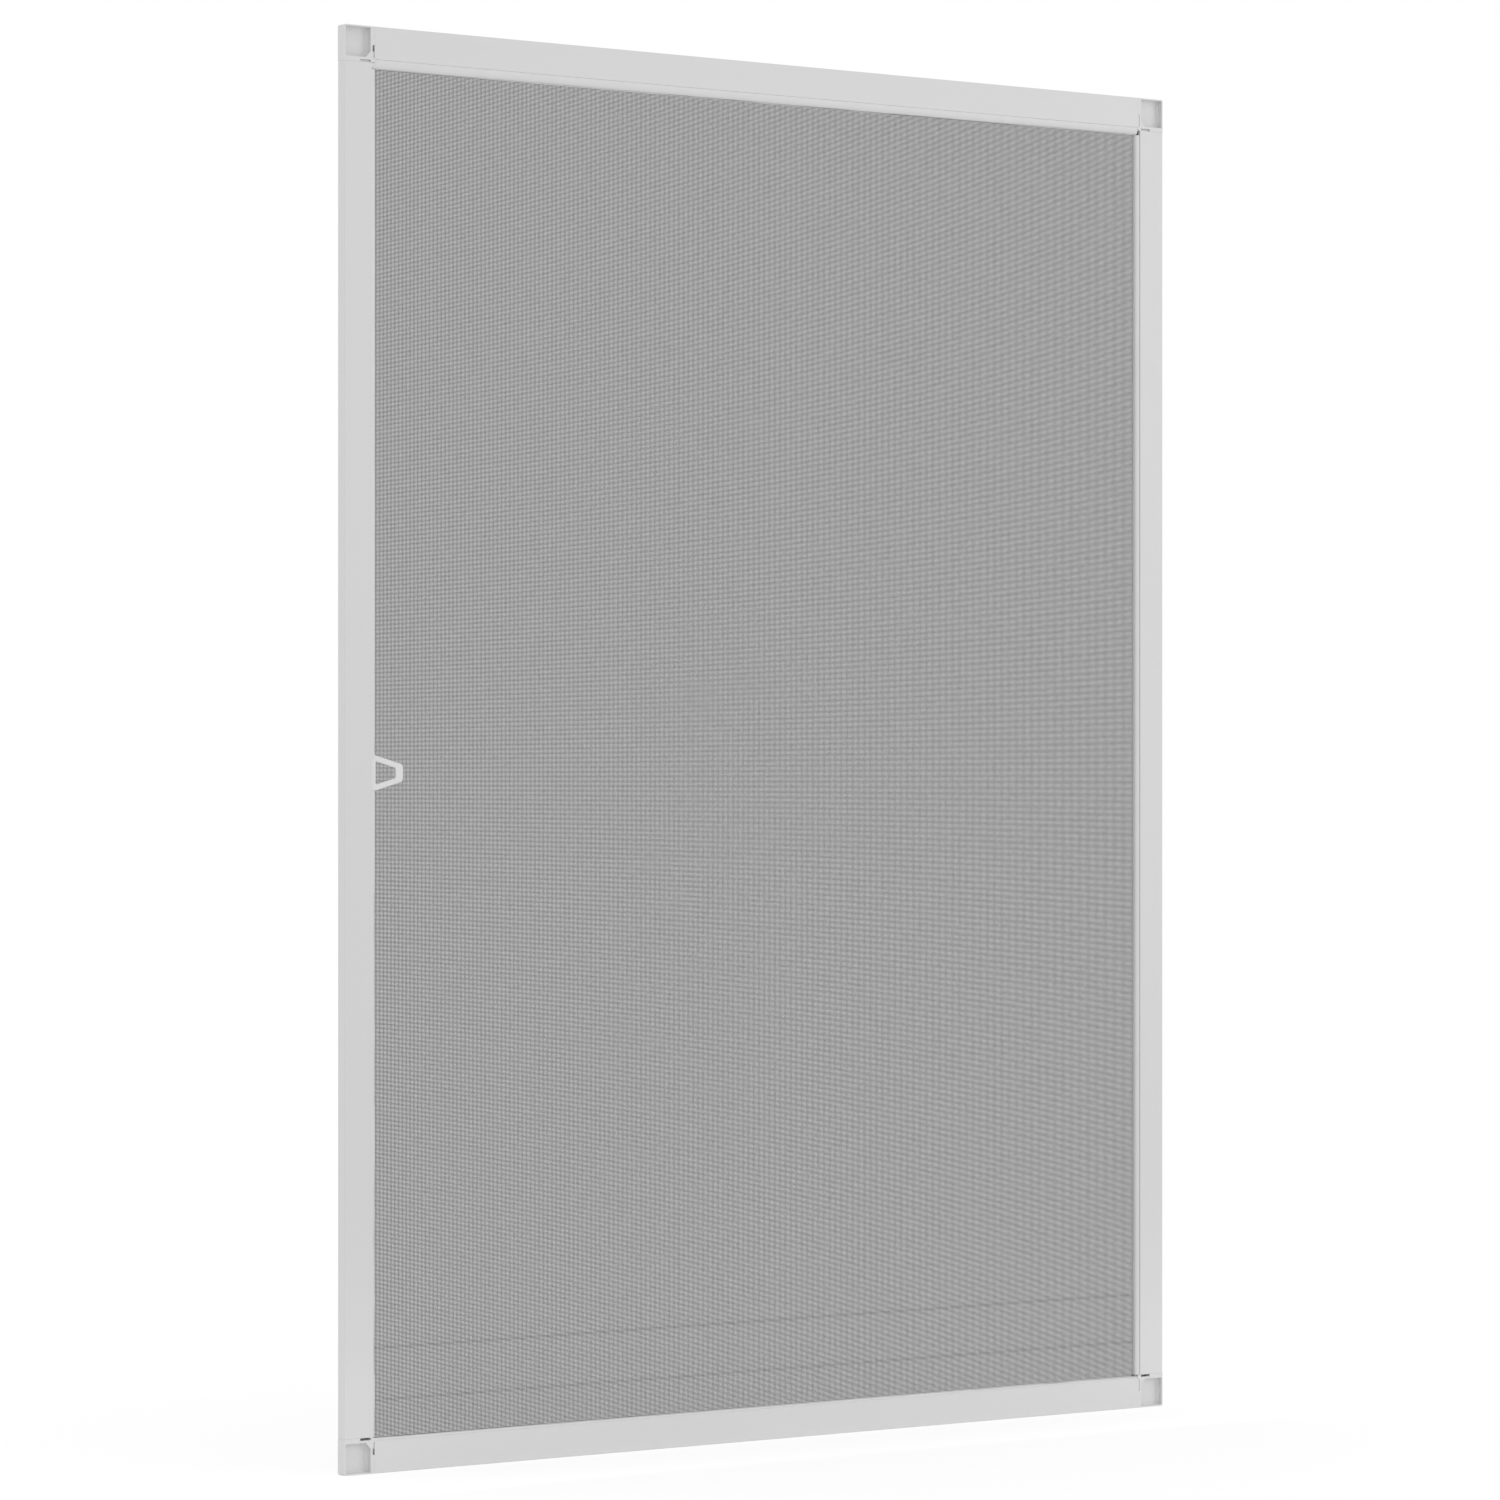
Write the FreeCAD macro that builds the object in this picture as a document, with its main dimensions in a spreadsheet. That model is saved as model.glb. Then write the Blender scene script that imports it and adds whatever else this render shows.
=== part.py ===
import FreeCAD, Part
import os
import re
import Sketcher

# Insect screen panel for a window, upright, in millimetres.
# +X runs along the width, -Y is the room side and +Z is up. The origin is the
# middle of the bottom edge, half way through the thickness.

document = FreeCAD.newDocument("window_screen_frame")


# Driving dimensions

dimensions = {
    # the whole panel
    "frame_width": 900,
    "frame_height": 1200,
    "frame_depth": 10,
    # hollow section of the four frame bars, from the outer edge inwards
    "face_width": 27.3,
    "wall": 1.1,
    "chamber_width": 14.5,
    "web": 1.1,
    "lip": 1.1,
    "groove_height": 5.6,
    "slot_height": 3.4,
    "bar_edge_radius": 0.6,
    # corner connectors: a square block with a sunken front, and two legs
    "block_side": 30,
    "block_radius": 1.8,
    "rim": 1.2,
    "end_wall": 4,
    "recess_depth": 5.5,
    "recess_bevel": 5,
    "recess_radius": 2,
    "relief_length": 2,
    "relief_floor": 2,
    "leg_length": 42,
    "leg_core": 5.2,
    "leg_clearance": 0.15,
    "barb_count": 5,
    "barb_pitch": 7.5,
    "barb_length": 4,
    "butt_clearance": 0.1,
    # retaining splines, and how far each one's lip stands out of its bar
    "bead_width": 4.2,
    "bead_bevel": 1.2,
    "spline_clearance": 0.1,
    "left_reach": 3.9,
    "right_reach": 2.4,
    "top_reach": 6.2,
    "bottom_reach": 1.3,
    "bead_set_back": 3,
    "plug_length": 1.8,
    "spline_end_gap": 0.2,
    "head_thickness": 8,
    "head_bevel": 0.9,
    "slit_depth": 5.5,
    # woven mesh: a thin wall with warp and weft ridges and a grid of gaps
    "fabric_wall": 0.3,
    "ridge_height": 0.1,
    "ridge_width": 0.6,
    "ridge_pitch": 14,
    "mesh_grip": 5,
    "mesh_clearance": 0.05,
    "mesh_corner_gap": 0.2,
    "gap_size": 10,
    "column_ridges": 6,
    "row_ridges": 7,
    # pull tab: a flat loop hooked into the left bar's groove
    "tab_middle": 581,
    "tab_root": 29.5,
    "tab_tip": 14,
    "tab_reach": 28.3,
    "tab_thickness": 2.4,
    "tab_hook": 1.4,
    "tab_clearance": 0.1,
    "tab_root_bar": 1,
    "tab_side_bar": 4.6,
    "tab_tip_bar": 7,
    "tab_tip_radius": 3,
    "tab_hole_radius": 1.2,
}

sheet = document.addObject("Spreadsheet::Sheet", "sizes")
for row, (alias, value) in enumerate(dimensions.items(), start=1):
    sheet.set(f"A{row}", alias)
    sheet.set(f"B{row}", str(value))
    sheet.setAlias(f"B{row}", alias)
document.recompute()


def bound(text):
    """An expression in which each dimension is named by its sheet."""
    return re.sub("[a-z_]+", lambda word: ("sizes." if word[0] in dimensions else "") + word[0], text)


def size(text):
    return float(sheet.evalExpression(bound(text)))


# Sketches and features

def origin_feature(body, role):
    return next(item for item in body.Origin.OriginFeatures if item.Role == role)


def new_body(label):
    body = document.addObject("PartDesign::Body", label)
    body.Label = label
    return body


def new_sketch(body, name, plane, offset="0"):
    """A sketch on an origin plane, moved along that plane's normal."""
    sketch = body.newObject("Sketcher::SketchObject", name)
    sketch.AttachmentSupport = (origin_feature(body, plane), [""])
    sketch.MapMode = "FlatFace"
    sketch.setExpression("AttachmentOffset.Base.z", bound(offset))
    return sketch


def outline(sketch, corners):
    """A closed outline whose corners are pairs of expressions, each held by two dimensions."""
    points = [FreeCAD.Vector(size(x), size(y), 0) for x, y in corners]
    first = sketch.GeometryCount
    for start, end in zip(points, points[1:] + points[:1]):
        sketch.addGeometry(Part.LineSegment(start, end), False)
    for index, corner in enumerate(corners):
        following = first + (index + 1) % len(corners)
        sketch.addConstraint(Sketcher.Constraint("Coincident", first + index, 2, following, 1))
        for kind, text in zip(("DistanceX", "DistanceY"), corner):
            held = Sketcher.Constraint(kind, -1, 1, first + index, 1, size(text))
            number = sketch.addConstraint(held)
            sketch.setExpression(f"Constraints[{number}]", bound(text))


def rectangle(sketch, x0, y0, x1, y1):
    outline(sketch, [(x0, y0), (x1, y0), (x1, y1), (x0, y1)])


def pad(body, name, sketch, length, symmetric=False):
    feature = body.newObject("PartDesign::Pad", name)
    feature.Profile = sketch
    feature.SideType = "Symmetric" if symmetric else "One side"
    feature.setExpression("Length", bound(length))
    document.recompute()
    return feature


def pocket(body, name, sketch, depth=None):
    """A cut against the sketch's normal to a depth, or right through both ways."""
    volume = body.Shape.Volume
    feature = body.newObject("PartDesign::Pocket", name)
    feature.Profile = sketch
    if depth:
        feature.setExpression("Length", bound(depth))
    else:
        feature.Type = "ThroughAll"
        feature.SideType = "Symmetric"
    document.recompute()
    if body.Shape.Volume >= volume:
        raise RuntimeError(f"{name} cuts nothing from {body.Label}")
    return feature


def pattern(body, name, original, *rows):
    """Copies along one or two origin axes, each row an (axis, step, count)."""
    feature = body.newObject("PartDesign::LinearPattern", name)
    feature.Originals = [original]
    for suffix, (axis, step, count) in zip(("", "2"), rows):
        setattr(feature, "Direction" + suffix, (origin_feature(body, axis), [""]))
        setattr(feature, "Mode" + suffix, "Extent")
        feature.setExpression("Length" + suffix, bound(f"({step}) * ({count} - 1)"))
        feature.setExpression("Occurrences" + suffix, bound(count))
    body.Tip = feature
    document.recompute()
    return feature


def rounded(body, name, radius, chosen):
    """Round the straight edges that a test on middle point and direction picks."""
    base = body.Tip
    names = []
    for number, edge in enumerate(body.Shape.Edges, start=1):
        if edge.Curve.TypeId == "Part::GeomLine":
            middle = edge.valueAt((edge.FirstParameter + edge.LastParameter) / 2)
            if chosen(middle, edge.tangentAt(edge.FirstParameter)):
                names.append(f"Edge{number}")
    feature = body.newObject("PartDesign::Fillet", name)
    feature.Base = (base, names)
    feature.setExpression("Radius", bound(radius))
    document.recompute()
    return feature


def near(value, text):
    return abs(value - size(text)) < 0.001


def place(body, x, z, axis=(0, 1, 0), angle=0):
    body.Placement.Rotation = FreeCAD.Rotation(FreeCAD.Vector(*axis), angle)
    body.setExpression("Placement.Base.x", bound(x))
    body.setExpression("Placement.Base.z", bound(z))


# The four sides: how to turn a piece that is drawn with the frame's outer edge
# at X = 0 and its length along +Z, starting at a corner of the frame.

left_side = ("-frame_width / 2", "0")
right_side = ("frame_width / 2", "0", (0, 0, 1), 180)
bottom_side = ("-frame_width / 2", "0", (1, 0, 1), 180)
top_side = ("-frame_width / 2", "frame_height", (0, 1, 0), 90)


# Frame bars

bar_start = "(block_side + butt_clearance)"
groove_start = "(wall + chamber_width + web)"
lip_start = "(face_width - lip)"


def frame_bar(label, side_length):
    body = new_body(label)
    section = new_sketch(body, "bar_section", "XY_Plane", bar_start)
    outline(section, [
        ("0", "-frame_depth / 2"),
        ("face_width", "-frame_depth / 2"),
        ("face_width", "-slot_height / 2"),
        (lip_start, "-slot_height / 2"),
        (lip_start, "-groove_height / 2"),
        (groove_start, "-groove_height / 2"),
        (groove_start, "groove_height / 2"),
        (lip_start, "groove_height / 2"),
        (lip_start, "slot_height / 2"),
        ("face_width", "slot_height / 2"),
        ("face_width", "frame_depth / 2"),
        ("0", "frame_depth / 2"),
    ])
    rectangle(section, "wall", "wall - frame_depth / 2",
              "wall + chamber_width", "frame_depth / 2 - wall")
    pad(body, "extrusion", section, f"{side_length} - 2 * {bar_start}")
    rounded(body, "long_edges", "bar_edge_radius",
            lambda middle, direction: abs(direction.z) > 0.99 and near(abs(middle.y), "frame_depth / 2"))
    return body


place(frame_bar("left_stile", "frame_height"), *left_side)
place(frame_bar("right_stile", "frame_height"), *right_side)
place(frame_bar("bottom_rail", "frame_width"), *bottom_side)
place(frame_bar("top_rail", "frame_width"), *top_side)


# Corner connectors: the frame's corner is at the origin, and the legs run along +Z and +X

recess_end = "(block_side - end_wall)"
leg_start = "(wall + leg_clearance)"
core_half = "(leg_core / 2)"
barb_half = "(frame_depth / 2 - wall - leg_clearance)"


def leg_corners():
    """Half of the leg's saw-toothed side view, as (height, run) pairs from the block to the tip."""
    corners = [(core_half, "block_side")]
    for number in range(int(size("barb_count"))):
        start = f"(block_side + leg_length - barb_length - {number} * barb_pitch)"
        corners[1:1] = [(core_half, start), (barb_half, start), (core_half, start + " + barb_length")]
    return corners


def corner_connector(label):
    body = new_body(label)
    square = new_sketch(body, "block_outline", "XZ_Plane")
    rectangle(square, "0", "0", "block_side", "block_side")
    pad(body, "block", square, "frame_depth", symmetric=True)
    rounded(body, "block_corners", "block_radius",
            lambda middle, direction: abs(direction.y) > 0.99 and abs(middle.x - middle.z) < 0.001)

    recess = new_sketch(body, "recess_outline", "XZ_Plane", "frame_depth / 2")
    outline(recess, [
        ("rim", "rim"),
        (recess_end, "rim"),
        (recess_end, f"{recess_end} - recess_bevel"),
        (f"{recess_end} - recess_bevel", recess_end),
        ("rim", recess_end),
    ])
    pocket(body, "recess", recess, "recess_depth")
    rounded(body, "recess_floor", "recess_radius",
            lambda middle, direction: near(middle.y, "recess_depth - frame_depth / 2"))

    notch = new_sketch(body, "relief_outline", "XZ_Plane", "frame_depth / 2")
    rectangle(notch, "wall + chamber_width", "block_side - relief_length",
              lip_start, "block_side")
    relief = pocket(body, "spline_relief", notch, "frame_depth - relief_floor")

    side_view = new_sketch(body, "leg_side_view", "YZ_Plane", leg_start)
    upper = leg_corners()
    outline(side_view, upper + [("-" + height, run) for height, run in reversed(upper)])
    leg = pad(body, "leg", side_view, "chamber_width - 2 * leg_clearance")

    diagonal = new_sketch(body, "diagonal", "XZ_Plane")
    diagonal.AttachmentOffset.Rotation = FreeCAD.Rotation(FreeCAD.Vector(0, 0, 1), -45)
    other_leg = body.newObject("PartDesign::Mirrored", "other_leg")
    other_leg.Originals = [relief, leg]
    other_leg.MirrorPlane = (diagonal, ["V_Axis"])
    body.Tip = other_leg
    document.recompute()
    return body


place(corner_connector("corner_connector_bottom_left"), "-frame_width / 2", "0")
place(corner_connector("corner_connector_bottom_right"), "frame_width / 2", "0", (0, 1, 0), -90)
place(corner_connector("corner_connector_top_right"), "frame_width / 2", "frame_height", (0, 1, 0), 180)
place(corner_connector("corner_connector_top_left"), "-frame_width / 2", "frame_height", (0, 1, 0), 90)


# Retaining splines: the bead lies in the groove, and a split lip swells outside the slot

neck_length = "(lip + top_reach + spline_clearance)"
lip_half = "(slot_height / 2 - spline_clearance)"
bead_half = "(groove_height / 2 - spline_clearance)"
slit_half = "(fabric_wall / 2 + ridge_height + mesh_clearance)"
plug_half = "(frame_depth / 2 - relief_floor - spline_clearance)"
head_start = "(face_width + spline_clearance)"


def spline(label, reach, side_length, lip_from, lip_to):
    """A spline whose lip runs between two places; its bead starts later and ends in a plug."""
    body = new_body(label)
    tip = f"(face_width + {reach})"
    bead_end = f"({tip} - {neck_length})"
    bead_start = f"({bead_end} - bead_width)"

    lip_section = new_sketch(body, "lip_section", "XY_Plane", lip_from)
    flap = [
        (bead_end, lip_half),
        (head_start, lip_half),
        (head_start, "(head_thickness / 2)"),
        (f"{tip} - head_bevel", "(head_thickness / 2)"),
        (tip, "(head_thickness / 2 - head_bevel)"),
        (tip, slit_half),
        (f"{tip} - slit_depth", slit_half),
    ]
    outline(lip_section, flap + [(run, "-" + height) for run, height in reversed(flap)])
    pad(body, "split_lip", lip_section, f"{lip_to} - {lip_from}")

    bead_from = f"({bar_start} + bead_set_back)"
    plug_start = f"({side_length} - block_side)"
    bead_section = new_sketch(body, "bead_section", "XY_Plane", bead_from)
    outline(bead_section, [
        (bead_start, f"bead_bevel - {bead_half}"),
        (f"{bead_start} + bead_bevel", "-" + bead_half),
        (bead_end, "-" + bead_half),
        (bead_end, bead_half),
        (f"{bead_start} + bead_bevel", bead_half),
        (bead_start, f"{bead_half} - bead_bevel"),
    ])
    pad(body, "bead", bead_section, f"{plug_start} - {bead_from}")

    plug_section = new_sketch(body, "plug_section", "XY_Plane", plug_start)
    rectangle(plug_section, "wall + chamber_width + spline_clearance", "-" + plug_half,
              f"{lip_start} - spline_clearance", plug_half)
    pad(body, "plug", plug_section, "plug_length")
    return body


side_lip_end = "(frame_height - face_width - top_reach - spline_end_gap)"
rail_lip_end = f"(frame_width - {bar_start})"
left_spline = spline("left_spline", "left_reach", "frame_height", bar_start, side_lip_end)
place(left_spline, *left_side)
place(spline("right_spline", "right_reach", "frame_height", bar_start, side_lip_end), *right_side)
place(spline("bottom_spline", "bottom_reach", "frame_width", bar_start, rail_lip_end), *bottom_side)
place(spline("top_spline", "top_reach", "frame_width", bar_start, rail_lip_end), *top_side)

# the front half of the left spline is cut away where the pull tab's tongue goes in
tab_seat = new_sketch(left_spline, "tab_seat_outline", "XZ_Plane", "frame_depth / 2")
rectangle(tab_seat, groove_start, "tab_middle - tab_root / 2 - tab_clearance",
          "face_width + left_reach", "tab_middle + tab_root / 2 + tab_clearance")
pocket(left_spline, "tab_seat", tab_seat, f"frame_depth / 2 - {slit_half}")


# Pull tab: drawn with the frame's outer edge at X = 0 and its own middle at Z = 0

taper_start = "(face_width + left_reach)"
tab_end = f"({taper_start} + tab_reach)"
tab_back = f"(-{slit_half} - tab_clearance)"
tab_front = f"({tab_back} - tab_thickness)"
tongue_front = "(tab_clearance - slot_height / 2)"
hook_front = "(tab_clearance - groove_height / 2)"
hook_end = f"({lip_start} - tab_clearance)"
plate_start = "(face_width + tab_clearance)"


def tab_half(run):
    """Half of the tab's height at a place along its taper."""
    return f"(tab_root / 2 - (tab_root - tab_tip) / 2 * ({run} - {taper_start}) / tab_reach)"


def pull_tab():
    body = new_body("pull_tab")
    section = new_sketch(body, "tab_section", "XY_Plane")
    outline(section, [
        (f"{hook_end} - tab_hook", tab_back),
        (f"{hook_end} - tab_hook", hook_front),
        (hook_end, hook_front),
        (hook_end, tongue_front),
        (plate_start, tongue_front),
        (plate_start, tab_front),
        (tab_end, tab_front),
        (tab_end, tab_back),
    ])
    pad(body, "tab_strip", section, "tab_root", symmetric=True)

    sides = new_sketch(body, "taper_outline", "XZ_Plane")
    for sign in ("", "-"):
        outline(sides, [
            (taper_start, f"{sign}tab_root / 2"),
            (tab_end, f"{sign}tab_tip / 2"),
            (tab_end, f"{sign}tab_root / 2"),
        ])
    pocket(body, "taper", sides)

    hole_start = f"({taper_start} + tab_root_bar)"
    hole_end = f"({tab_end} - tab_tip_bar)"
    hole = new_sketch(body, "finger_hole_outline", "XZ_Plane")
    outline(hole, [
        (hole_start, f"tab_side_bar - {tab_half(hole_start)}"),
        (hole_end, f"tab_side_bar - {tab_half(hole_end)}"),
        (hole_end, f"{tab_half(hole_end)} - tab_side_bar"),
        (hole_start, f"{tab_half(hole_start)} - tab_side_bar"),
    ])
    pocket(body, "finger_hole", hole)
    rounded(body, "tip_corners", "tab_tip_radius",
            lambda middle, direction: abs(direction.y) > 0.99 and near(middle.x, tab_end))
    rounded(body, "hole_corners", "tab_hole_radius",
            lambda middle, direction: abs(direction.y) > 0.99
            and (near(middle.x, hole_start) or near(middle.x, hole_end)))
    return body


place(pull_tab(), "-frame_width / 2", "tab_middle")


# Woven mesh: its edges end inside the splines' slits and its corners are trimmed clear of the blocks

mesh_left = "(face_width + left_reach - mesh_grip - frame_width / 2)"
mesh_right = "(frame_width / 2 - face_width - right_reach + mesh_grip)"
mesh_bottom = "(face_width + bottom_reach - mesh_grip)"
mesh_top = "(frame_height - face_width - top_reach + mesh_grip)"
corner_trim = "(block_side + mesh_corner_gap)"
trim_left = f"({corner_trim} - frame_width / 2)"
trim_right = f"(frame_width / 2 - {corner_trim})"
trim_top = f"(frame_height - {corner_trim})"
column_step = "(column_ridges * ridge_pitch)"
row_step = "(row_ridges * ridge_pitch)"
gap_columns = f"(floor((frame_width - 2 * {corner_trim} - gap_size) / {column_step}) + 1)"
gap_rows = f"(floor((frame_height - 2 * {corner_trim} - gap_size) / {row_step}) + 1)"
first_gap_x = f"(-({gap_columns} - 1) / 2 * {column_step})"
first_gap_z = f"(frame_height / 2 - ({gap_rows} - 1) / 2 * {row_step})"


def first_ridge(first_gap, limit):
    """The first ridge that fits past a limit, half a pitch beside a gap's middle."""
    nearest = f"({first_gap} - ridge_pitch / 2)"
    return f"({nearest} - floor(({nearest} - ridge_width / 2 - {limit}) / ridge_pitch) * ridge_pitch)"


def ridge_total(start, limit):
    return f"floor(({limit} - ridge_width / 2 - {start}) / ridge_pitch) + 1"


def screen_mesh():
    body = new_body("screen_mesh")
    cloth = new_sketch(body, "mesh_outline", "XZ_Plane")
    outline(cloth, [
        (trim_left, mesh_bottom),
        (trim_right, mesh_bottom),
        (trim_right, corner_trim),
        (mesh_right, corner_trim),
        (mesh_right, trim_top),
        (trim_right, trim_top),
        (trim_right, mesh_top),
        (trim_left, mesh_top),
        (trim_left, trim_top),
        (mesh_left, trim_top),
        (mesh_left, corner_trim),
        (trim_left, corner_trim),
    ])
    pad(body, "cloth", cloth, "fabric_wall", symmetric=True)

    first_x = first_ridge(first_gap_x, trim_left)
    warp_outline = new_sketch(body, "warp_outline", "XZ_Plane", "fabric_wall / 2")
    rectangle(warp_outline, f"{first_x} - ridge_width / 2", mesh_bottom,
              f"{first_x} + ridge_width / 2", mesh_top)
    warp = pad(body, "warp_ridge", warp_outline, "ridge_height")
    pattern(body, "warp_ridges", warp, ("X_Axis", "ridge_pitch", ridge_total(first_x, trim_right)))

    first_z = first_ridge(first_gap_z, corner_trim)
    weft_outline = new_sketch(body, "weft_outline", "XZ_Plane", "-fabric_wall / 2 - ridge_height")
    rectangle(weft_outline, mesh_left, f"{first_z} - ridge_width / 2",
              mesh_right, f"{first_z} + ridge_width / 2")
    weft = pad(body, "weft_ridge", weft_outline, "ridge_height")
    pattern(body, "weft_ridges", weft, ("Z_Axis", "ridge_pitch", ridge_total(first_z, trim_top)))

    gap_outline = new_sketch(body, "gap_outline", "XZ_Plane")
    rectangle(gap_outline, f"{first_gap_x} - gap_size / 2", f"{first_gap_z} - gap_size / 2",
              f"{first_gap_x} + gap_size / 2", f"{first_gap_z} + gap_size / 2")
    gap = pocket(body, "gap", gap_outline)
    pattern(body, "gaps", gap, ("X_Axis", column_step, gap_columns), ("Z_Axis", row_step, gap_rows))
    return body


screen_mesh()


# Every object is checked before each piece is written to a file of its own

document.recompute()
for item in document.Objects:
    if "Invalid" in item.State or "Error" in item.State:
        raise RuntimeError(f"{item.Label} did not build: {item.State}")

os.makedirs("parts", exist_ok=True)
for body in document.findObjects("PartDesign::Body"):
    if body.Shape.isNull() or not body.Shape.isValid():
        raise RuntimeError(f"{body.Label} has no valid shape")
    body.Shape.exportStep(f"parts/{body.Label}.step")
    print(body.Label, len(body.Shape.Solids), round(body.Shape.Volume))
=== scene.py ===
import math
import bmesh
import bpy
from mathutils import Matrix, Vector, noise


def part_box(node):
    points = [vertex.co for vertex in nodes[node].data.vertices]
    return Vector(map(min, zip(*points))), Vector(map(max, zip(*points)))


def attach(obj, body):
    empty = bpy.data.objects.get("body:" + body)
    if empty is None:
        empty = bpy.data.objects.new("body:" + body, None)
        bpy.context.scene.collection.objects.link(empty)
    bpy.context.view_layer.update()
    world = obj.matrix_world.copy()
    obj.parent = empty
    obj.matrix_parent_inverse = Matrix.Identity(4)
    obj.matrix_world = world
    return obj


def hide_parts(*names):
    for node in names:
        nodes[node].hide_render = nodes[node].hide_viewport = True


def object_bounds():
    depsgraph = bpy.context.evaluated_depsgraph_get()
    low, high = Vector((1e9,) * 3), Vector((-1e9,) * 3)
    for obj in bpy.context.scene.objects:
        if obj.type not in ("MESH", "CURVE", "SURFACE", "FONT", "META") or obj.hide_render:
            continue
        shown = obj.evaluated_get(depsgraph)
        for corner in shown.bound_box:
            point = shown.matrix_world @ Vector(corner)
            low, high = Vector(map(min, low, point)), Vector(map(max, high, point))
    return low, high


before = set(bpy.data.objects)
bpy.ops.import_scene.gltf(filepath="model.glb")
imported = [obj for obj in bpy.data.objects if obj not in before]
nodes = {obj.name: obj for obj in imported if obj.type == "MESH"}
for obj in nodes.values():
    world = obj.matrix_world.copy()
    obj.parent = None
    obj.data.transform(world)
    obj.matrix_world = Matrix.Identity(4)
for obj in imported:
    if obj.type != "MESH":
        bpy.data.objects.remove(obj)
cadLow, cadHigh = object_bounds()
millimetre = 0.001


# Camera: level, to the left of the screen, at the photograph's angle
viewpoint = {
    "place": (-3.1425, -4.067, 0.576),
    "heading": -37.48,   # degrees round the upright axis
    "lens": 141.24,
    "shiftUp": 0.0193,
}


def addObject(name, data):
    added = bpy.data.objects.new(name, data)
    bpy.context.scene.collection.objects.link(added)
    return added


def placeCamera():
    camera = addObject("camera", bpy.data.cameras.new("camera"))
    camera.location = viewpoint["place"]
    camera.rotation_euler = (math.radians(90), 0, math.radians(viewpoint["heading"]))
    camera.data.lens = viewpoint["lens"]
    camera.data.shift_y = viewpoint["shiftUp"]
    bpy.context.scene.camera = camera


# Helpers for colours and nodes; in them an input is a value, or a (node, output) pair that feeds it
mixEntries = (0, 6, 7)    # a colour Mix node's factor and two colours, by number
mixResult = 2


def paint(red, green, blue):
    # display values from 0 to 255, as the shader's linear colour
    shares = [level / 255 for level in (red, green, blue)]
    linear = [s / 12.92 if s < 0.04045 else ((s + 0.055) / 1.055) ** 2.4 for s in shares]
    return (*linear, 1)


def addNode(tree, kind, **settings):
    node = tree.nodes.new(kind)
    for name, value in settings.items():
        setattr(node, name, value)
    return node


def wire(tree, source, output, target, entry):
    tree.links.new(source.outputs[output], target.inputs[entry])


def feed(tree, value, target, entry):
    if isinstance(value, tuple) and len(value) == 2:
        wire(tree, value[0], value[1], target, entry)
    else:
        target.inputs[entry].default_value = value


def calculate(tree, operation, first, second):
    node = addNode(tree, "ShaderNodeMath", operation=operation)
    for entry, value in enumerate((first, second)):
        feed(tree, value, node, entry)
    return node


def mixColours(tree, share, first, second):
    node = addNode(tree, "ShaderNodeMix", data_type="RGBA")
    for entry, value in zip(mixEntries, (share, first, second)):
        feed(tree, value, node, entry)
    return node


def raiseSurface(tree, height, look, shader):
    bump = addNode(tree, "ShaderNodeBump")
    bump.inputs["Strength"].default_value = look["bump"]
    bump.inputs["Distance"].default_value = look["bumpDepth"]
    feed(tree, height, bump, "Height")
    wire(tree, bump, "Normal", shader, "Normal")


def newMaterial(name):
    material = bpy.data.materials.new(name)
    material.use_nodes = True
    return material, material.node_tree, material.node_tree.nodes["Principled BSDF"]


def newGroup(name, entries, results):
    group = bpy.data.node_groups.new(name, "ShaderNodeTree")
    for label, kind, value in entries:
        socket = group.interface.new_socket(name=label, in_out="INPUT", socket_type=kind)
        if value is not None:
            socket.default_value = value
    for label, kind in results:
        group.interface.new_socket(name=label, in_out="OUTPUT", socket_type=kind)
    return group, group.nodes.new("NodeGroupInput"), group.nodes.new("NodeGroupOutput")


def placeGroup(tree, group, **values):
    node = addNode(tree, "ShaderNodeGroup", node_tree=group)
    for label, value in values.items():
        node.inputs[label].default_value = value
    return node


# Effects that several finishes share
noiseDetail = {"drift": 4, "grain": 3, "sheen": 5, "lines": 2}
noiseMiddle = 0.5
bevelSamples = 6


def buildToneDrift():
    # a colour that drifts a little from place to place, as a batch of paint or plastic does
    group, entry, result = newGroup(
        "toneDrift",
        [("Vector", "NodeSocketVector", None), ("Color", "NodeSocketColor", None),
         ("Drift", "NodeSocketFloat", 0.03), ("Patch", "NodeSocketFloat", 8.0)],
        [("Color", "NodeSocketColor")])
    clouds = addNode(group, "ShaderNodeTexNoise")
    clouds.inputs["Detail"].default_value = noiseDetail["drift"]
    wire(group, entry, "Vector", clouds, "Vector")
    wire(group, entry, "Patch", clouds, "Scale")
    centred = calculate(group, "SUBTRACT", (clouds, "Fac"), noiseMiddle)
    scaled = calculate(group, "MULTIPLY", (centred, 0), (entry, "Drift"))
    gain = calculate(group, "ADD", (scaled, 0), 1.0)
    tint = addNode(group, "ShaderNodeVectorMath", operation="SCALE")
    wire(group, entry, "Color", tint, 0)
    wire(group, gain, 0, tint, "Scale")
    wire(group, tint, 0, result, "Color")
    return group


def buildFineGrain():
    # the small bumps of a sprayed or moulded skin, and broad patches of sheen
    group, entry, result = newGroup(
        "fineGrain",
        [("Vector", "NodeSocketVector", None), ("Grain", "NodeSocketFloat", 1800.0),
         ("Sheen", "NodeSocketFloat", 25.0)],
        [("Height", "NodeSocketFloat"), ("Patches", "NodeSocketFloat")])
    for label, entryName, layer in (("Height", "Grain", "grain"), ("Patches", "Sheen", "sheen")):
        cells = addNode(group, "ShaderNodeTexNoise")
        cells.inputs["Detail"].default_value = noiseDetail[layer]
        wire(group, entry, "Vector", cells, "Vector")
        wire(group, entry, entryName, cells, "Scale")
        wire(group, cells, "Fac", result, label)
    return group


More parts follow.
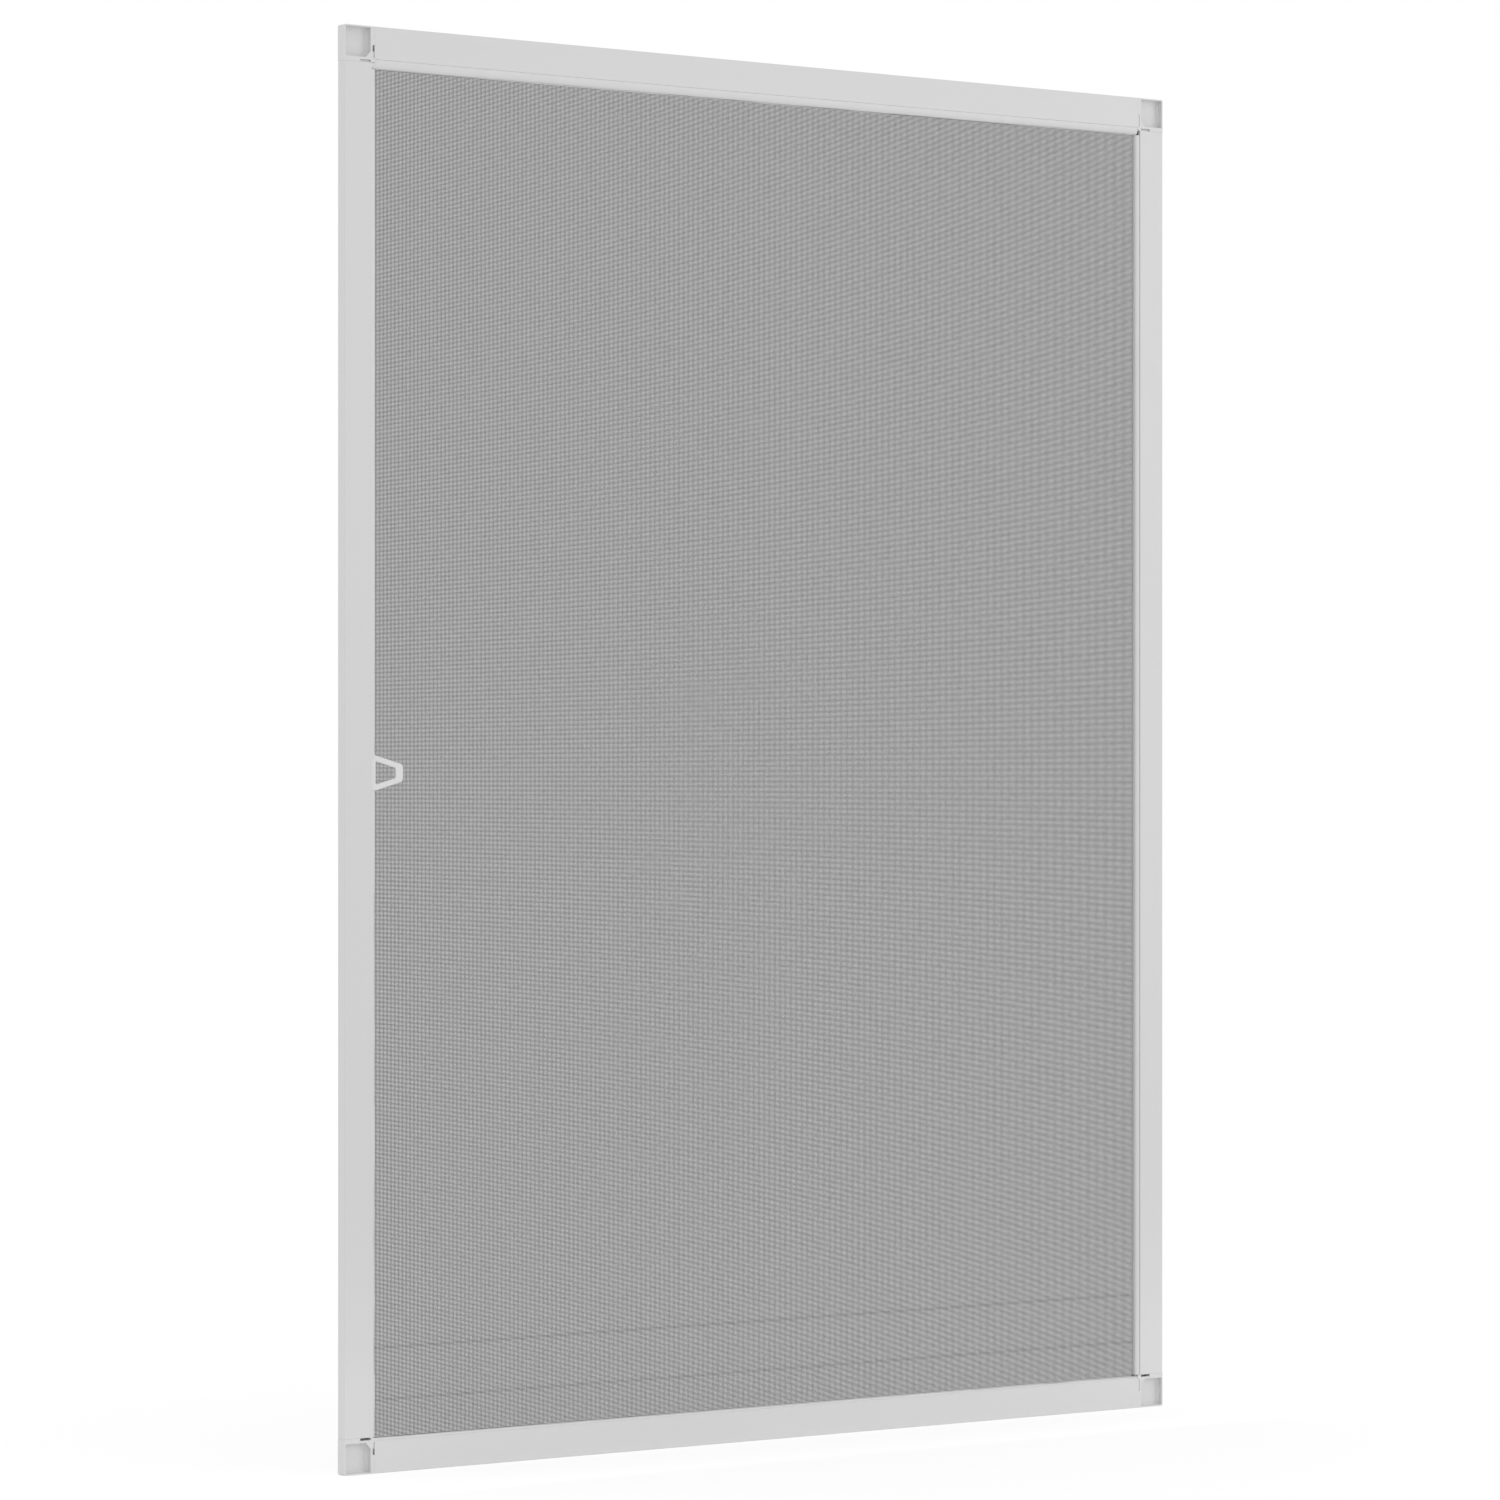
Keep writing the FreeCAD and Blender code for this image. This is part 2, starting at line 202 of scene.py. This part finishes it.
def buildDrawnLines():
    # long faint lines along a stretched piece; Stretch is small along its length
    group, entry, result = newGroup(
        "drawnLines",
        [("Vector", "NodeSocketVector", None), ("Stretch", "NodeSocketVector", (1.0, 1.0, 0.004)),
         ("Fineness", "NodeSocketFloat", 900.0)],
        [("Height", "NodeSocketFloat")])
    stretched = addNode(group, "ShaderNodeVectorMath", operation="MULTIPLY")
    wire(group, entry, "Vector", stretched, 0)
    wire(group, entry, "Stretch", stretched, 1)
    streaks = addNode(group, "ShaderNodeTexNoise")
    streaks.inputs["Detail"].default_value = noiseDetail["lines"]
    wire(group, stretched, 0, streaks, "Vector")
    wire(group, entry, "Fineness", streaks, "Scale")
    wire(group, streaks, "Fac", result, "Height")
    return group


def buildEdgeHighlight():
    # 1 on the narrow band beside an edge, 0 on the open faces; it places a painted highlight along the
    # edges
    group, entry, result = newGroup(
        "edgeHighlight",
        [("Width", "NodeSocketFloat", 0.0006), ("Sharpness", "NodeSocketFloat", 3.0)],
        [("Mask", "NodeSocketFloat")])
    softened = addNode(group, "ShaderNodeBevel", samples=bevelSamples)
    wire(group, entry, "Width", softened, "Radius")
    shape = addNode(group, "ShaderNodeNewGeometry")
    agreement = addNode(group, "ShaderNodeVectorMath", operation="DOT_PRODUCT")
    wire(group, softened, "Normal", agreement, 0)
    wire(group, shape, "Normal", agreement, 1)
    apart = calculate(group, "SUBTRACT", 1.0, (agreement, "Value"))
    mask = calculate(group, "MULTIPLY", (apart, 0), (entry, "Sharpness"))
    mask.use_clamp = True
    wire(group, mask, 0, result, "Mask")
    return group


toneDrift = buildToneDrift()
fineGrain = buildFineGrain()
drawnLines = buildDrawnLines()
edgeHighlight = buildEdgeHighlight()
print("shared effects built")


# Finishes

def smoothFinish(name, look, stretch=None):
    # a sprayed or moulded skin: drifting colour, fine grain, drawn lines and a painted highlight along
    # the edges
    material, tree, shader = newMaterial(name)
    shader.inputs["IOR"].default_value = look["ior"]
    where = addNode(tree, "ShaderNodeTexCoord")

    drift = placeGroup(tree, toneDrift, Color=look["colour"], Drift=look["drift"], Patch=look["patch"])
    wire(tree, where, "Object", drift, "Vector")
    # painted highlight: a lighter colour on the narrow band along every edge
    edgeLight = placeGroup(tree, edgeHighlight, Width=look["edgeHighlightWidth"])
    highlightedEdges = mixColours(tree, (edgeLight, "Mask"), (drift, "Color"), look["edgeHighlightColour"])
    wire(tree, highlightedEdges, mixResult, shader, "Base Color")

    grain = placeGroup(tree, fineGrain, Grain=look["grain"], Sheen=look["sheenPatch"])
    wire(tree, where, "Object", grain, "Vector")
    gloss = addNode(tree, "ShaderNodeMapRange")
    wire(tree, grain, "Patches", gloss, "Value")
    gloss.inputs["To Min"].default_value = look["roughFrom"]
    gloss.inputs["To Max"].default_value = look["roughTo"]
    wire(tree, gloss, "Result", shader, "Roughness")

    height = (grain, "Height")
    if stretch:
        lines = placeGroup(tree, drawnLines, Stretch=stretch, Fineness=look["fineness"])
        wire(tree, where, "Object", lines, "Vector")
        faint = calculate(tree, "MULTIPLY", (lines, "Height"), look["lineShare"])
        height = (calculate(tree, "ADD", height, (faint, 0)), 0)
    raiseSurface(tree, height, look, shader)
    return material


# White powder coat on the four aluminium bars
powderCoat = {
    "colour": paint(214, 214, 214),
    # lighter colour painted along the edges as a highlight, and the width of that band
    "edgeHighlightColour": paint(222, 222, 222),
    "edgeHighlightWidth": 0.5 * millimetre,
    "drift": 0.02,
    "patch": 6.0,
    "ior": 1.45,
    "grain": 1500.0,
    "sheenPatch": 18.0,
    "roughFrom": 0.42,
    "roughTo": 0.56,
    "bump": 0.35,
    "bumpDepth": 0.03 * millimetre,
    "fineness": 700.0,
    "lineShare": 0.35,
}
alongStile = (1.0, 1.0, 0.004)
alongRail = (0.004, 1.0, 1.0)

# Moulded corner connectors
connectorPlastic = {
    "colour": paint(214, 214, 214),
    # lighter colour painted along the edges as a highlight, and the width of that band
    "edgeHighlightColour": paint(220, 220, 220),
    "edgeHighlightWidth": 0.5 * millimetre,
    "drift": 0.03,
    "patch": 30.0,
    "ior": 1.46,
    "grain": 2600.0,
    "sheenPatch": 60.0,
    "roughFrom": 0.4,
    "roughTo": 0.55,
    "bump": 0.3,
    "bumpDepth": 0.03 * millimetre,
}

# Flexible retaining splines, with more drift and fine lines along them
splineVinyl = {
    "colour": paint(214, 214, 214),
    # lighter colour painted along the edges as a highlight, and the width of that band
    "edgeHighlightColour": paint(224, 224, 224),
    "edgeHighlightWidth": 0.4 * millimetre,
    "drift": 0.05,
    "patch": 90.0,
    "ior": 1.5,
    "grain": 1200.0,
    "sheenPatch": 120.0,
    "roughFrom": 0.35,
    "roughTo": 0.55,
    "bump": 0.35,
    "bumpDepth": 0.05 * millimetre,
    "fineness": 1600.0,
    "lineShare": 0.5,
}
alongSpline = (0.01, 1.0, 0.01)    # upright and level splines share it

# Pull tab
tabPlastic = {
    "colour": paint(221, 221, 221),
    # lighter colour painted along the edges as a highlight, and the width of that band
    "edgeHighlightColour": paint(234, 234, 234),
    "edgeHighlightWidth": 0.5 * millimetre,
    "drift": 0.03,
    "patch": 60.0,
    "ior": 1.48,
    "grain": 2400.0,
    "sheenPatch": 80.0,
    "roughFrom": 0.32,
    "roughTo": 0.46,
    "bump": 0.3,
    "bumpDepth": 0.03 * millimetre,
}


def dress(nodeName, material):
    node = nodes[nodeName]
    node.data.materials.clear()
    node.data.materials.append(material)
    return node


# How far the edges of the moulded pieces are rounded
softEdge = {
    "connector": 0.25 * millimetre,
    "tab": 0.35 * millimetre,
    "segments": 2,
    "angle": 40,                       # degrees
    "merge": 0.001 * millimetre,
}


def softenEdges(node, width):
    # joined first, so that the edges of the imported faces can be rounded
    joined = node.modifiers.new("joined", "WELD")
    joined.merge_threshold = softEdge["merge"]
    bevel = node.modifiers.new("softEdges", "BEVEL")
    bevel.width = width
    bevel.segments = softEdge["segments"]
    bevel.limit_method = "ANGLE"
    bevel.angle_limit = math.radians(softEdge["angle"])
    bevel.use_clamp_overlap = True
    node.modifiers.new("evenShading", "WEIGHTED_NORMAL")


def dressFrame():
    stileCoat = smoothFinish("powderCoatStile", powderCoat, alongStile)
    railCoat = smoothFinish("powderCoatRail", powderCoat, alongRail)
    for nodeName, coat in (("left_stile", stileCoat), ("right_stile", stileCoat),
                           ("bottom_rail", railCoat), ("top_rail", railCoat)):
        dress(nodeName, coat)
    plastic = smoothFinish("connectorPlastic", connectorPlastic)
    for corner in ("top_left", "top_right", "bottom_left", "bottom_right"):
        softenEdges(dress("corner_connector_" + corner, plastic), softEdge["connector"])
    softenEdges(dress("pull_tab", smoothFinish("tabPlastic", tabPlastic)), softEdge["tab"])


# Meshes

def sweptShell(shape, rings):
    # a closed shell over a row of closed rings, with flat ends
    loops = [[shape.verts.new(point) for point in ring] for ring in rings]
    for here, there in zip(loops, loops[1:]):
        for index, corner in enumerate(here):
            beside = (index + 1) % len(here)
            shape.faces.new((corner, here[beside], there[beside], there[index]))
    shape.faces.new(loops[0])
    shape.faces.new(reversed(loops[-1]))


def meshObject(name, shape):
    mesh = bpy.data.meshes.new(name)
    shape.to_mesh(mesh)
    shape.free()
    return addObject(name, mesh)


def closedObject(name, shape):
    bmesh.ops.recalc_face_normals(shape, faces=shape.faces)
    return meshObject(name, shape)


def solidObject(name, rings):
    shape = bmesh.new()
    sweptShell(shape, rings)
    return closedObject(name, shape)


def combine(piece, other, operation):
    # the piece's mesh becomes one clean solid, and the other is used up
    change = piece.modifiers.new("change", "BOOLEAN")
    change.object = other
    change.operation = operation
    change.solver = "EXACT"
    view = bpy.context.evaluated_depsgraph_get()
    combined = bpy.data.meshes.new_from_object(piece.evaluated_get(view))
    piece.modifiers.clear()
    piece.data = combined
    bpy.data.objects.remove(other)


def finishPiece(piece, material, sharpAngle):
    mesh = piece.data
    mesh.polygons.foreach_set("use_smooth", [True] * len(mesh.polygons))
    mesh.set_sharp_from_angle(angle=math.radians(sharpAngle))
    mesh.materials.append(material)
    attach(piece, "root")


# Retaining splines: a bead in the groove, a split lip whose head swells over the slot, and an end plug
spline = {
    "beadWidth": 4.2 * millimetre,
    "beadHalf": 2.7 * millimetre,
    "beadBevel": 1.2 * millimetre,
    "beadSetBack": 3 * millimetre,     # from the ends of the stiles' lips
    "neckLength": 7.4 * millimetre,    # from the bead to the lip's edge
    "neckHalf": 1.6 * millimetre,
    "headGap": 0.05 * millimetre,      # between the head and the bar
    "slitHalf": 0.3 * millimetre,
    "slitDepth": 5.5 * millimetre,
    "backSet": 1.8 * millimetre,       # the back flap is this much shorter than the front one
    "plugBack": 2.9 * millimetre,
    "plugReach": 26.1 * millimetre,
    "stubStart": 20.8 * millimetre,    # a short plug at the rails' near ends
    "stubFront": 4.1 * millimetre,
    "cornerReach": 30.2 * millimetre,
    "endGap": 0.2 * millimetre,        # from a stile's lip to the top lip
    "overlap": 0.2 * millimetre,       # where the parts of one spline join
    "seatGap": 0.1 * millimetre,       # round the pull tab's root
    "seatReach": 2 * millimetre,       # past the lip's edge
    "station": 4 * millimetre,         # from ring to ring
    "sectionSteps": 8,
    "sharpAngle": 50,                  # degrees
}

# in millimetres: the plug's front; the lip's front head and edge and its back flap's, from the middle;
# how far the lip stands out past the solid where its run starts and where it ends; and how far its
# edge and head wander
lipHabits = {
    "left": {"plug": 3.4, "head": 4.0, "edge": 1.8, "back": 3.4, "backEdge": 1.6, "bluntness": 0.65,
             "near": -0.4, "far": 0.4, "sway": 0.4, "swell": 0.2, "salt": 1.37},
    "right": {"plug": 3.4, "head": 4.0, "edge": 0.9, "back": 2.6, "backEdge": 0.9, "bluntness": 0.8,
              "near": 2.3, "far": 2.3, "sway": 0.12, "swell": 0.1, "salt": 4.61},
    "bottom": {"plug": 4.6, "head": 4.3, "edge": 2.2, "back": 3.4, "backEdge": 1.6, "bluntness": 0.65,
               "near": 0.6, "far": 0.0, "sway": 0.35, "swell": 0.3, "salt": 7.83},
    "top": {"plug": 4.6, "head": 4.6, "edge": 1.8, "back": 3.4, "backEdge": 1.6, "bluntness": 0.95,
            "near": 1.6, "far": 0.3, "sway": 0.3, "swell": 0.3, "salt": 11.29},
}
wave = {
    "long": 34 * millimetre,
    "short": 9 * millimetre,
    "shortShare": 0.5,
    "layer": 0.5,                      # of the noise
    "headSalt": 0.4,                   # sets the head's wander apart from the edge's
}


def wander(run, salt):
    slow = noise.noise(Vector((run / wave["long"], salt, wave["layer"])))
    quick = noise.noise(Vector((run / wave["short"], salt, wave["layer"])))
    return slow + wave["shortShare"] * quick


def onSide(side, reach, depth, run):
    # reach is measured from the frame's outer edge, run from its lower or left corner
    if side == "left":
        return Vector((cadLow.x + reach, depth, cadLow.z + run))
    if side == "right":
        return Vector((cadHigh.x - reach, depth, cadLow.z + run))
    if side == "bottom":
        return Vector((cadLow.x + run, depth, cadLow.z + reach))
    return Vector((cadLow.x + run, depth, cadHigh.z - reach))


def splineSpan(side):
    # where the node's box starts and ends: reach from the outer edge, run along the side
    low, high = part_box(side + "_spline")
    if side == "left":
        return low.x - cadLow.x, high.x - cadLow.x, low.z - cadLow.z, high.z - cadLow.z
    if side == "right":
        return cadHigh.x - high.x, cadHigh.x - low.x, low.z - cadLow.z, high.z - cadLow.z
    if side == "bottom":
        return low.z - cadLow.z, high.z - cadLow.z, low.x - cadLow.x, high.x - cadLow.x
    return cadHigh.z - high.z, cadHigh.z - low.z, low.x - cadLow.x, high.x - cadLow.x


def headCurve(start, tip, head, edge, bluntness):
    # from the full head beside the bar to the edge; a bluntness of 1 is an ellipse, less is squarer
    steps = spline["sectionSteps"]
    for step in range(steps):
        turn = math.pi / 2 * step / (steps - 1)
        along, fall = (share ** bluntness for share in (math.sin(turn), abs(math.cos(turn))))
        yield start + (tip - start) * along, edge + (head - edge) * fall


def flapCurves(side, start, tip, head):
    # the front flap's outline and the shorter back flap's
    habit = lipHabits[side]
    front = headCurve(start, tip, head, habit["edge"] * millimetre, habit["bluntness"])
    behind = headCurve(start, tip - spline["backSet"], habit["back"] * millimetre,
                       habit["backEdge"] * millimetre, habit["bluntness"])
    return [(reach, -depth) for reach, depth in front], list(behind)


def lipRing(side, root, face, tip, head, run):
    # two flaps from the bead to the slit between them
    start, neck, half = face + spline["headGap"], spline["neckHalf"], spline["slitHalf"]
    slitEnd = tip - spline["slitDepth"]
    front, behind = flapCurves(side, start, tip, head)
    upper = [(root, -neck), (start, -neck)] + front + [(tip, -half), (slitEnd, -half)]
    lower = [(root, neck), (start, neck)] + behind + [(tip - spline["backSet"], half), (slitEnd, half)]
    return [onSide(side, reach, depth, run) for reach, depth in upper + lower[::-1]]


def beadRing(side, start, end, run):
    half, bevel = spline["beadHalf"], spline["beadBevel"]
    corners = [(start, -half + bevel), (start + bevel, -half), (end, -half),
               (end, half), (start + bevel, half), (start, half - bevel)]
    return [onSide(side, reach, depth, run) for reach, depth in corners]


def plugRing(side, start, front, run):
    back, end = spline["plugBack"], spline["plugReach"]
    corners = [(start, -front), (end, -front), (end, back), (start, back)]
    return [onSide(side, reach, depth, run) for reach, depth in corners]


def cornerRing(tip, head, run):
    # the top lip's near end, where it closes the corner beside the stile
    front, behind = flapCurves("top", spline["cornerReach"], tip, head)
    return [onSide("top", reach, depth, run) for reach, depth in front + behind[::-1]]


def lipReach(side, share, run):
    # how far the lip stands from the frame's outer edge at a place along it
    habit = lipHabits[side]
    more = habit["near"] + (habit["far"] - habit["near"]) * share
    return splineSpan(side)[1] + (more + habit["sway"] * wander(run, habit["salt"])) * millimetre


def headDepth(side, run):
    # how far the front head stands out from the middle at a place along it
    habit = lipHabits[side]
    return (habit["head"] + habit["swell"] * wander(run, habit["salt"] + wave["headSalt"])) * millimetre


def tabSeatRings():
    # the block of space round the pull tab's root, in front of the mesh
    low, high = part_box("pull_tab")
    stile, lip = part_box("left_stile"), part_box("left_spline")
    gap, front = spline["seatGap"], stile[0].y
    outer, inner = lip[0].x, lip[1].x + spline["seatReach"]
    return [[(outer, front, z), (inner, front, z),
             (inner, -spline["slitHalf"], z), (outer, -spline["slitHalf"], z)]
            for z in (low.z - gap, high.z + gap)]


def makeSpline(side, material):
    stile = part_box("left_stile")
    face = stile[1].x - stile[0].x
    plugStart, tip, runFrom, runTo = splineSpan(side)
    beadEnd = tip - spline["neckLength"]
    if side in ("left", "right"):
        barEnd = cadHigh.z - cadLow.z - runFrom
        share = 0 if side == "left" else 1
        across = runFrom + (cadHigh.x - cadLow.x - 2 * runFrom) * share
        lipTo = cadHigh.z - cadLow.z - lipReach("top", share, across) - spline["endGap"]
    else:
        barEnd = lipTo = cadHigh.x - cadLow.x - runFrom

    count = round((lipTo - runFrom) / spline["station"])
    rings = []
    for index in range(count + 1):
        run = runFrom + (lipTo - runFrom) * index / count
        rings.append(lipRing(side, beadEnd - spline["overlap"], face,
                             lipReach(side, index / count, run), headDepth(side, run), run))
    piece = solidObject("retaining_spline_" + side, rings)

    if side in ("bottom", "top"):
        beadFrom = runFrom - spline["overlap"]
        stub = [plugRing(side, spline["stubStart"], spline["stubFront"], run)
                for run in (runFrom - (runTo - barEnd), runFrom)]
        combine(piece, solidObject("stub", stub), "UNION")
    else:
        beadFrom = runFrom + spline["beadSetBack"]
    bead = [beadRing(side, beadEnd - spline["beadWidth"], beadEnd, run)
            for run in (beadFrom, runTo - spline["overlap"])]
    plugFront = lipHabits[side]["plug"] * millimetre
    plug = [plugRing(side, plugStart, plugFront, run) for run in (barEnd, runTo)]
    combine(piece, solidObject("bead", bead), "UNION")
    combine(piece, solidObject("plug", plug), "UNION")
    if side == "top":
        corner = [cornerRing(lipReach("top", 0, runFrom), headDepth("top", runFrom), run)
                  for run in (face + spline["headGap"], runFrom + spline["overlap"])]
        combine(piece, solidObject("corner", corner), "UNION")
    if side == "left":
        combine(piece, solidObject("tabSeat", tabSeatRings()), "DIFFERENCE")
    finishPiece(piece, material, spline["sharpAngle"])
    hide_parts(side + "_spline")


# Insect mesh: warp and weft threads in two layers, held in the splines' slits
insectMesh = {
    "pitchAcross": 1.36 * millimetre,
    "pitchUp": 1.08 * millimetre,
    "width": 0.522 * millimetre,
    "thickness": 0.25 * millimetre,
    "stray": 0.015 * millimetre,       # how far a thread stands from its even place
    "strayNoise": (0.71, 9, 0.3),      # its step from thread to thread, salt and layer
    "blockSide": 30 * millimetre,
    "cornerGap": 0.2 * millimetre,
    "creases": ((60.6 * millimetre, 1.15), (103.2 * millimetre, 1.165)),    # height and gain
    "creaseHalf": 1.08 * millimetre,   # a crease takes in two threads
    "sharpAngle": 70,                  # degrees
    "colour": paint(50, 50, 51),
    # painted highlight colour for the weave's raised crossings
    "crossingHighlightColour": paint(62, 62, 63),
    "drift": 0.12,
    "patch": 14.0,
    "roughness": 0.6,
    "specular": 0.3,
    "grain": 6000.0,
    "sheenPatch": 200.0,
    "bump": 0.5,
    "bumpDepth": 0.1 * millimetre,
}


def threadSection(width, thickness):
    # six corners round a flattened yarn
    return [(-width / 2, 0), (-width / 4, -thickness / 2), (width / 4, -thickness / 2),
            (width / 2, 0), (width / 4, thickness / 2), (-width / 4, thickness / 2)]


def threadPlaces(low, high, pitch):
    count = int((high - low - insectMesh["width"]) / pitch) + 1
    start = (low + high) / 2 - (count - 1) / 2 * pitch
    step, salt, layer = insectMesh["strayNoise"]
    for index in range(count):
        place = start + index * pitch
        yield place + insectMesh["stray"] * noise.noise(Vector((index * step, low * salt, layer)))


def weftWidth(height):
    # the threads in a crease are wider and cover more
    for crease, gain in insectMesh["creases"]:
        if abs(height - crease) < insectMesh["creaseHalf"]:
            return insectMesh["width"] * gain
    return insectMesh["width"]


def meshYarn():
    material, tree, shader = newMaterial("meshYarn")
    shader.inputs["Roughness"].default_value = insectMesh["roughness"]
    shader.inputs["Specular IOR Level"].default_value = insectMesh["specular"]
    where = addNode(tree, "ShaderNodeTexCoord")
    parts = addNode(tree, "ShaderNodeSeparateXYZ")
    wire(tree, where, "Object", parts, 0)

    # over and under: a chequer of highs and lows at the threads' pitch, for the bump and for a painted
    # highlight on the highs with painted shade on the lows
    waves = []
    for axis, pitch in (("X", "pitchAcross"), ("Z", "pitchUp")):
        turns = calculate(tree, "MULTIPLY", (parts, axis), math.pi / insectMesh[pitch])
        waves.append(calculate(tree, "SINE", (turns, 0), 0.0))
    crossing = calculate(tree, "MULTIPLY", (waves[0], 0), (waves[1], 0))
    rise = addNode(tree, "ShaderNodeMapRange")
    wire(tree, crossing, 0, rise, "Value")
    rise.inputs["From Min"].default_value = -1

    drift = placeGroup(tree, toneDrift, Color=insectMesh["colour"],
                       Drift=insectMesh["drift"], Patch=insectMesh["patch"])
    wire(tree, where, "Object", drift, "Vector")
    # painted highlight and shade: the colour goes from the darker lows to the lighter highs of the
    # chequer
    woven = mixColours(tree, (rise, "Result"), (drift, "Color"), insectMesh["crossingHighlightColour"])
    wire(tree, woven, mixResult, shader, "Base Color")

    grain = placeGroup(tree, fineGrain, Grain=insectMesh["grain"], Sheen=insectMesh["sheenPatch"])
    wire(tree, where, "Object", grain, "Vector")
    weave = calculate(tree, "ADD", (rise, "Result"), (grain, "Height"))
    raiseSurface(tree, (weave, 0), insectMesh, shader)
    return material


def makeMesh():
    low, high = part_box("screen_mesh")
    trim = insectMesh["blockSide"] + insectMesh["cornerGap"]
    innerLow = Vector((cadLow.x + trim, 0, cadLow.z + trim))
    innerHigh = Vector((cadHigh.x - trim, 0, cadHigh.z - trim))
    layer = insectMesh["thickness"] / 2
    shape = bmesh.new()
    for x in threadPlaces(low.x, high.x, insectMesh["pitchAcross"]):
        inside = innerLow.x + insectMesh["width"] < x < innerHigh.x - insectMesh["width"]
        ends = (low.z, high.z) if inside else (innerLow.z, innerHigh.z)
        section = threadSection(insectMesh["width"], insectMesh["thickness"])
        sweptShell(shape, [[(x + across, depth - layer, z) for across, depth in section] for z in ends])
    for z in threadPlaces(low.z, high.z, insectMesh["pitchUp"]):
        inside = innerLow.z + insectMesh["width"] < z < innerHigh.z - insectMesh["width"]
        ends = (low.x, high.x) if inside else (innerLow.x, innerHigh.x)
        section = threadSection(weftWidth(z), insectMesh["thickness"])
        sweptShell(shape, [[(x, depth + layer, z + across) for across, depth in section] for x in ends])
    piece = closedObject("insect_mesh", shape)
    finishPiece(piece, meshYarn(), insectMesh["sharpAngle"])
    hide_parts("screen_mesh")


# Studio: white surroundings and floor, a broad key from the right, a fill from behind on the left
# and a low strip in front of the bottom rail; a lamp is its place, its two sides and its power
studio = {
    "floorHalf": 30.0,
    "floorDrop": 0.2 * millimetre,
    "floorRoughness": 0.9,
    "floorColour": paint(248, 248, 248),     # for the light it throws on the object
    "floorInSight": paint(120, 120, 120),    # where it is seen, to carry the shadow
    "floorWhite": 0.84,                      # and the white that is added to it there
    "skyLevel": 0.88,
    "keyLamp": ((3.0, -3.2, 1.6), (2.4, 2.0), 23.0),
    "fillLamp": ((-3.8, 1.4, 1.4), (2.4, 2.0), 7.0),
    "footLamp": ((0.0, -0.14, 0.04), (1.8, 0.05), 0.13),
}


def seenShare(tree, plain, seen):
    # one value for light on the object, another for what camera, gloss and glass see
    path = addNode(tree, "ShaderNodeLightPath")
    direct = calculate(tree, "MAXIMUM", (path, "Is Camera Ray"), (path, "Is Glossy Ray"))
    anySight = calculate(tree, "MAXIMUM", (direct, 0), (path, "Is Transmission Ray"))
    level = addNode(tree, "ShaderNodeMapRange")
    wire(tree, anySight, 0, level, "Value")
    level.inputs["To Min"].default_value = plain
    level.inputs["To Max"].default_value = seen
    return level


def makeSurroundings():
    world = bpy.data.worlds.new("whiteRoom")
    bpy.context.scene.world = world
    world.use_nodes = True
    tree = world.node_tree
    sky = tree.nodes["Background"]
    sky.inputs["Color"].default_value = (1, 1, 1, 1)
    wire(tree, seenShare(tree, studio["skyLevel"], 1.0), "Result", sky, "Strength")


def makeFloor():
    material, tree, shader = newMaterial("paleFloor")
    shader.inputs["Roughness"].default_value = studio["floorRoughness"]
    shader.inputs["Specular IOR Level"].default_value = 0
    sight = (seenShare(tree, 0.0, 1.0), "Result")
    tone = mixColours(tree, sight, studio["floorColour"], studio["floorInSight"])
    wire(tree, tone, mixResult, shader, "Base Color")
    shader.inputs["Emission Color"].default_value = (1, 1, 1, 1)
    wire(tree, seenShare(tree, 0.0, studio["floorWhite"]), "Result", shader, "Emission Strength")

    shape = bmesh.new()
    half = studio["floorHalf"]
    corners = [(-half, -half), (half, -half), (half, half), (-half, half)]
    shape.faces.new([shape.verts.new((x, y, cadLow.z - studio["floorDrop"])) for x, y in corners])
    floor = meshObject("floor", shape)
    floor.data.materials.append(material)


def makeLamp(name, target):
    place, sides, power = studio[name]
    lamp = addObject(name, bpy.data.lights.new(name, "AREA"))
    lamp.data.shape = "RECTANGLE"
    lamp.data.size, lamp.data.size_y = sides
    lamp.data.energy = power
    lamp.visible_camera = False
    lamp.location = place
    lamp.rotation_euler = (target - Vector(place)).to_track_quat("-Z", "Y").to_euler()


placeCamera()
print("camera placed")
dressFrame()
print("bars, connectors and pull tab finished")
vinyl = smoothFinish("splineVinyl", splineVinyl, alongSpline)
for sideName in lipHabits:
    makeSpline(sideName, vinyl)
print("retaining splines made")
makeMesh()
print("insect mesh woven")
makeSurroundings()
makeFloor()
centre = (cadLow + cadHigh) / 2
makeLamp("keyLamp", centre)
makeLamp("fillLamp", centre)
makeLamp("footLamp", Vector((centre.x, centre.y, cadLow.z)))
print("studio lit")

bpy.context.scene.view_settings.view_transform = "Standard"
